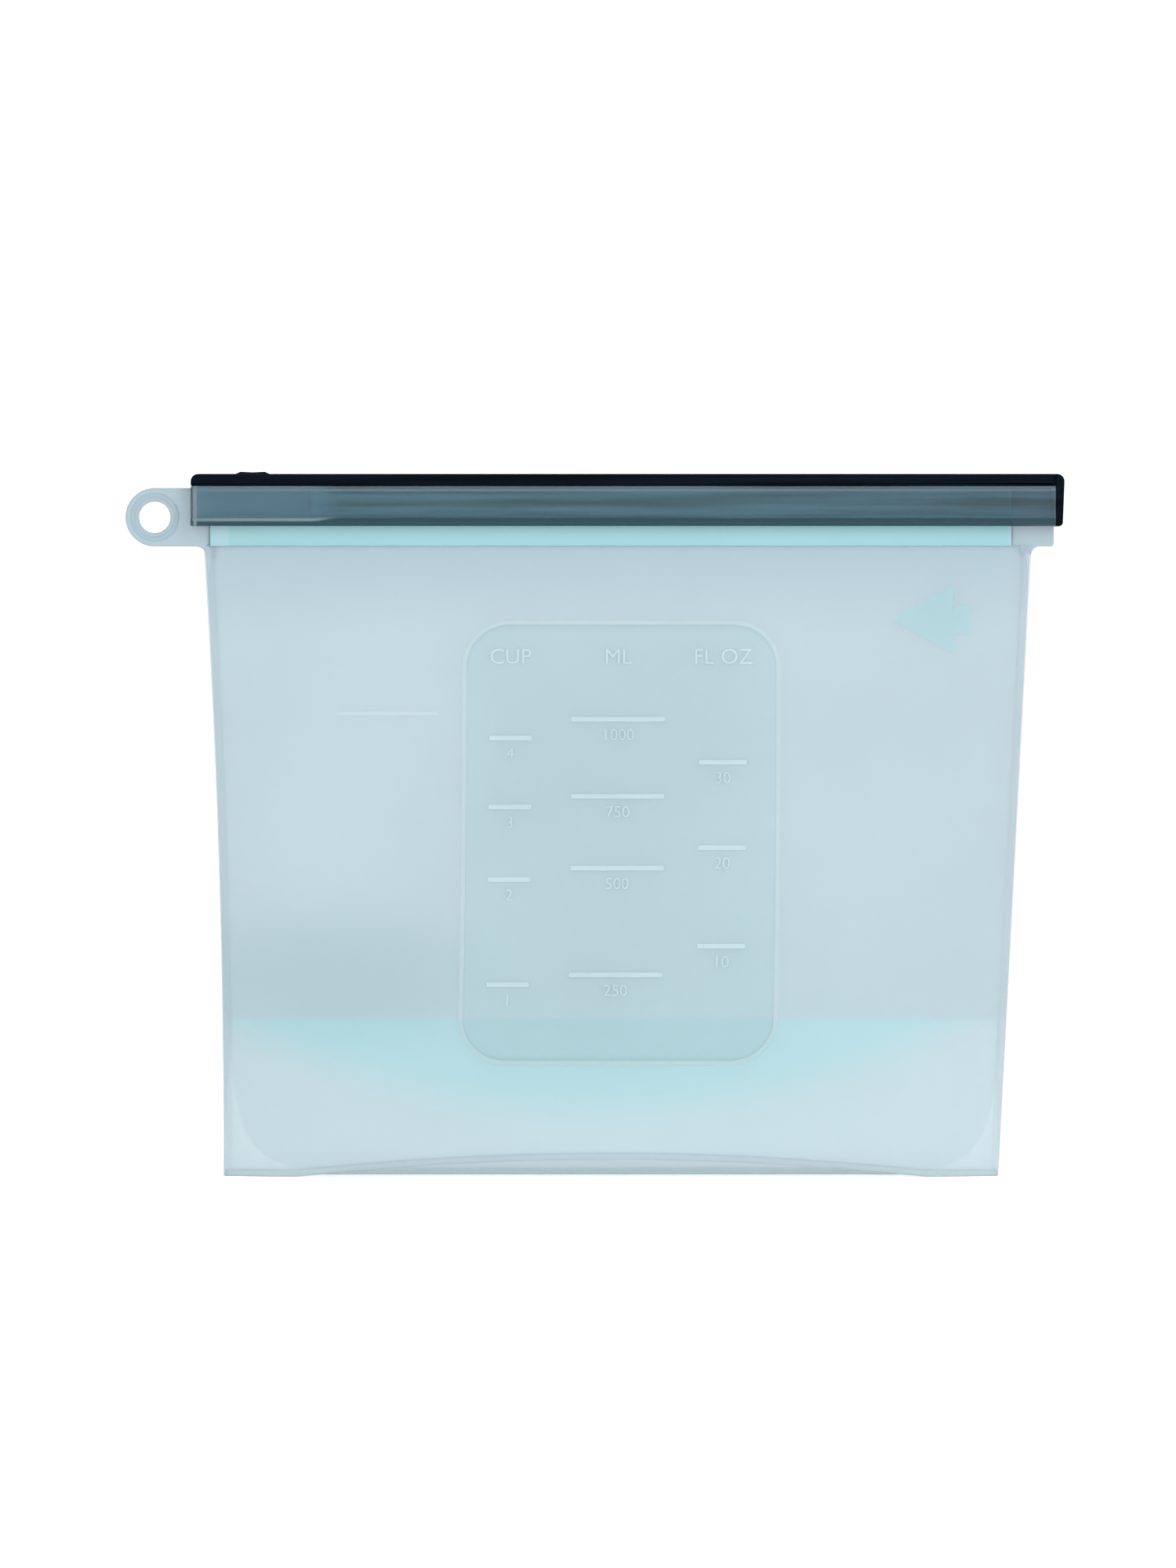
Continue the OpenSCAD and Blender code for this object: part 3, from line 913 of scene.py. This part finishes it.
def window_field(name, material, height):
    """Thin polished field inside the frame."""
    x0, x1 = window_lo.x + FIELD_INSET, window_hi.x - FIELD_INSET
    z0, z1 = window_lo.z + FIELD_INSET, window_hi.z - FIELD_INSET
    radius = WINDOW_R - FIELD_INSET
    columns = [x0 + radius * (1 - math.cos(math.radians(a))) for a in range(5, 90, 10)]
    columns += [mix(x0 + radius, x1 - radius, i / 24) for i in range(25)]
    columns += [x1 - radius * (1 - math.cos(math.radians(a))) for a in range(85, 0, -10)]
    spans = []
    for x in columns:
        gap = max(0.0, x0 + radius - x, x - (x1 - radius))
        cut = radius - math.sqrt(max(0.0, radius ** 2 - gap ** 2))
        spans.append((x, z0 + cut, z1 - cut))
    obj = link(name, face_front(on_front(span_mesh(name, spans, FIELD_ROWS))), material)
    raise_relief(obj, height, 0)


window_field("scale_field", WINDOW, FIELD_H)
window_frame("scale_frame", BORDER, BORDER_H, BORDER_BEVEL, "scale_window")


MARK_GAP = 5.0           # points of a CAD node that are further apart than this belong to separate marks


def mark_heights(cad_node):
    """Middle heights of the separate marks of a CAD node, from the highest down."""
    levels = sorted({round(v.co.z / MM, 2) for v in frame["nodes"][cad_node].data.vertices})
    groups = [[levels[0]]]
    for z in levels[1:]:
        if z - groups[-1][-1] > MARK_GAP:
            groups.append([])
        groups[-1].append(z)
    return [(group[0] + group[-1]) / 2 for group in reversed(groups)]


def tick(x0, x1, z, width):
    """Flat mesh of a short level line."""
    spans = [(mix(x0, x1, i / 10), z - width / 2, z + width / 2) for i in range(11)]
    return span_mesh("tick", spans, 2)


def clean_flat(mesh):
    """Fills a flat mesh again, without the slivers that a thickness would turn inside out."""
    build = bmesh.new()
    build.from_mesh(mesh)
    bmesh.ops.dissolve_degenerate(build, edges=build.edges, dist=1e-5)
    bmesh.ops.dissolve_limit(build, angle_limit=math.radians(1), verts=build.verts, edges=build.edges)
    bmesh.ops.triangulate(build, faces=build.faces, ngon_method="BEAUTY")
    build.to_mesh(mesh)
    build.free()
    return mesh


def label(text, x, z, size):
    """Flat mesh of a short text with its middle at x and z."""
    curve = bpy.data.curves.new("label", "FONT")
    curve.body = text
    curve.size = size * MM
    curve.align_x = "CENTER"
    curve.align_y = "CENTER"
    curve.resolution_u = 4
    mesh = clean_flat(mesh_of_curve(curve, merge=3e-5))
    for vertex in mesh.vertices:
        vertex.co = Vector((vertex.co.x + x * MM, 0, vertex.co.y + z * MM))
    mesh.materials.clear()
    return mesh


def relief_group(name, meshes, material, height, bevel, *nodes):
    """One piece of raised marks from several flat meshes."""
    build = bmesh.new()
    for mesh in meshes:
        build.from_mesh(mesh)
    mesh = bpy.data.meshes.new(name)
    build.to_mesh(mesh)
    build.free()
    obj = link(name, face_front(on_front(mesh)), material, smooth=False)
    raise_relief(obj, height, bevel, *nodes)


MARK_W = 1.3             # width of a line of the scale
MARK_BEVEL = 0.2
DIGIT_SIZE = 4.2
DIGIT_DROP = 4.1         # how far a number is below its line
HEADER_SIZE = 5.6
HEADER_Z = 132.5         # middle height of the headers
scale_columns = {
    "cup": ("cup_marks", ["4", "3", "2", "1"], "CUP"),
    "ml": ("ml_marks", ["1000", "750", "500", "250"], "ML"),
    "oz": ("oz_marks", ["30", "20", "10"], "FL OZ"),
}
for key, (cad_node, numbers, header) in scale_columns.items():
    lo, hi = box_mm(cad_node)
    heights = mark_heights(cad_node)
    centre = (lo.x + hi.x) / 2
    ticks = [tick(lo.x, hi.x, z, MARK_W) for z in heights]
    relief_group(f"{key}_ticks", ticks, RELIEF, RELIEF_H, MARK_BEVEL, cad_node)
    digits = [label(text, centre, z - DIGIT_DROP, DIGIT_SIZE) for text, z in zip(numbers, heights)]
    relief_group(f"{key}_digits", digits, RELIEF, TEXT_H, 0)
    relief_group(f"{key}_header", [label(header, centre, HEADER_Z, HEADER_SIZE)], RELIEF, TEXT_H, 0)

# ---------------------------------------------------------------- plain line left of the scale
LINE_L = 26.0            # length
LINE_W = 0.9             # width
LINE_H = 0.25            # height above the wall
LINE_GAP = 32.0          # from its left end to the scale's frame
LINE_RISE = 1.5          # how far it is above the highest line of the middle column
line_x = window_lo.x - LINE_GAP
line_z = mark_heights("ml_marks")[0] + LINE_RISE
relief_group("label_line", [tick(line_x, line_x + LINE_L, line_z, LINE_W)], BORDER, LINE_H, 0)

# ---------------------------------------------------------------- closing-direction arrow
HEAD_PART = 0.8          # part of the arrow's length that its head takes
STEM_PART = 0.4          # width of its stem, as a part of that of its head
ARROW_H = 0.2


def arrow_mesh():
    """Plain arrow that points towards the hanging tab, the way the bar is pushed on."""
    length = arrow_hi.x - arrow_lo.x
    width = arrow_hi.z - arrow_lo.z
    middle = (arrow_hi.z + arrow_lo.z) / 2
    stem = width * STEM_PART / 2
    spans = []
    for i in range(13):
        half = width / 2 * max(i / 12, 0.02)
        spans.append((arrow_lo.x + length * HEAD_PART * i / 12, middle - half, middle + half))
    for i in range(6):
        spans.append((mix(arrow_lo.x + length * HEAD_PART, arrow_hi.x, i / 5), middle - stem, middle + stem))
    return span_mesh("arrow", spans, 8)


relief_group("direction_arrow", [arrow_mesh()], ARROW, ARROW_H, 0, "arrow_mark")

# ---------------------------------------------------------------- closure bar
BAR_TOP_R = 1.9          # round upper corners of the bar, at its two ends
BAR_LOW_R = 0.9          # round lower corners
SPINE_BEVEL = 0.7
CAP_BEVEL = 0.4
FINE_BEVEL = 0.1
CAP_DRAFT = 0.4          # how much the end cap narrows towards its foot
GRIP_SINK = 0.4          # how far the raised grip is sunk into the spine
GRIP_SLOPE = 1.4         # how far its sides lean in
GRIP_DIP = 0.15          # how hollow its top is

spine_radii = (0.1, BAR_TOP_R, 0.3, 0.1)
spine_loop = rounded_loop(spine_lo.x, spine_lo.z, spine_hi.x, spine_hi.z, spine_radii, step=60)
spine = upright("bar_spine_black", [spine_loop], spine_lo.y, spine_hi.y, SPINE_BEVEL, BLACK)
follow(spine, "closure_bar", "bar_black", "bar_spine")

low_corner = (cap_hi.x - CAP_DRAFT - BAR_LOW_R, cap_lo.z + BAR_LOW_R)
cap_loop = arc(low_corner, BAR_LOW_R, 270, 355, 6)
cap_loop += arc((cap_hi.x - BAR_TOP_R, cap_hi.z - BAR_TOP_R), BAR_TOP_R, 0, 90, 10)
cap_loop += [(cap_lo.x, cap_hi.z), (cap_lo.x, cap_lo.z)]
cap = upright("bar_cap_black", [cap_loop], cap_lo.y, cap_hi.y, CAP_BEVEL, BLACK)
follow(cap, "closure_bar", "bar_black", "bar_end_cap")

grip_foot = grip_lo.z - GRIP_SINK
grip_loop = [(grip_lo.x, grip_foot), (grip_hi.x, grip_foot), (grip_hi.x, grip_lo.z),
             (grip_hi.x - GRIP_SLOPE, grip_hi.z), (mix(grip_lo.x, grip_hi.x, 0.5), grip_hi.z - GRIP_DIP),
             (grip_lo.x + GRIP_SLOPE, grip_hi.z), (grip_lo.x, grip_lo.z)]
grip = upright("bar_bump_black", [grip_loop], grip_lo.y, grip_hi.y, FINE_BEVEL, BLACK)
follow(grip, "closure_bar", "bar_black", "bar_thumb_bump")

BAR_WALL_T = 1.4
HOOK_R = 0.5             # rounded edges of the hook
SEAT = 0.05              # small gap between the wall and its thicker foot


def bar_side(which, side, cad_node):
    """Side wall, and the foot with the hook along it."""
    outer, tip = -side_lo.y, -side_hi.y
    inner = outer - BAR_WALL_T
    hook_top = side_lo.z + HOOK_H
    wall_loop = [(outer, side_hi.z), (outer, hook_top + SEAT), (inner, hook_top + SEAT), (inner, side_hi.z)]
    foot_loop = [(outer, hook_top)] + arc((outer - BAR_LOW_R, side_lo.z + BAR_LOW_R), BAR_LOW_R, 0, -90, 5)
    foot_loop += arc((tip + HOOK_R, side_lo.z + HOOK_R), HOOK_R, 270, 180, 4)
    foot_loop += arc((tip + HOOK_R, hook_top - HOOK_R), HOOK_R, 180, 90, 4)
    for name, loop, material, nodes in ((f"bar_{which}_smoke", wall_loop, SMOKE, [cad_node]),
                                        (f"bar_{which}_hook", foot_loop, HOOK, [])):
        loop = [(side * y, z) for y, z in loop]
        piece = along_x(name, [loop], side_lo.x, side_hi.x, FINE_BEVEL, material)
        follow(piece, "closure_bar", "bar_smoke", *nodes)


bar_side("front", -1, "bar_front_wall")
bar_side("back", 1, "bar_back_wall")

# ---------------------------------------------------------------- stage and light
def stage_material():
    material, tree = new_material("studio_white")
    shader = node(tree, "ShaderNodeBsdfPrincipled")
    shader.inputs["Base Color"].default_value = (0.9, 0.9, 0.9, 1)
    shader.inputs["Roughness"].default_value = 0.9
    shader.inputs["Specular IOR Level"].default_value = 0.0
    shader.inputs["Emission Color"].default_value = (1, 1, 1, 1)
    shader.inputs["Emission Strength"].default_value = 0.35
    out = node(tree, "ShaderNodeOutputMaterial")
    tree.links.new(shader.outputs[0], out.inputs["Surface"])
    return material


FLOOR_R = 9.0            # wide enough for every camera to stand inside the bowl, in metres
BEND_R = 2.0             # radius of the bend between floor and wall
STAGE_TOP = 2.6          # height of the wall
STAGE_TURNS = 72


def bowl(name, material):
    """Wide floor with a low wall all round, and a soft bend between them."""
    profile = [(0.0, 0.0)]
    for a in range(0, 91, 6):
        angle = math.radians(a)
        profile.append((FLOOR_R + BEND_R * math.sin(angle), BEND_R - BEND_R * math.cos(angle)))
    profile.append((FLOOR_R + BEND_R, STAGE_TOP))
    points = []
    for i in range(STAGE_TURNS + 1):
        turn = 2 * math.pi * i / STAGE_TURNS
        points += [(r * math.cos(turn) / MM, r * math.sin(turn) / MM, z / MM) for r, z in profile]
    return link(name, mesh_from(name, points, grid_faces(STAGE_TURNS + 1, len(profile))), material)


stage = bowl("studio_floor", stage_material())

world = bpy.data.worlds.new("studio")
world.use_nodes = True
background = world.node_tree.nodes["Background"]
background.inputs["Color"].default_value = (1, 1, 1, 1)
background.inputs["Strength"].default_value = 0.85
bpy.context.scene.world = world

BAG_MIDDLE = (0, 0, 0.09)


def area_light(name, place, size, watts):
    """Soft square light that faces the middle of the bag."""
    data = bpy.data.lights.new(name, "AREA")
    data.shape = "SQUARE"
    data.size = size
    data.energy = watts
    obj = bpy.data.objects.new(name, data)
    bpy.context.scene.collection.objects.link(obj)
    obj.location = place
    obj.rotation_euler = (Vector(BAG_MIDDLE) - Vector(place)).to_track_quat("-Z", "Y").to_euler()


area_light("key", place=(0.8, -1.1, 1.0), size=0.9, watts=9)
area_light("fill", place=(-1.0, -1.0, 0.6), size=1.0, watts=3)

bpy.context.scene.view_settings.view_transform = "Standard"
bpy.context.scene.view_settings.look = "None"
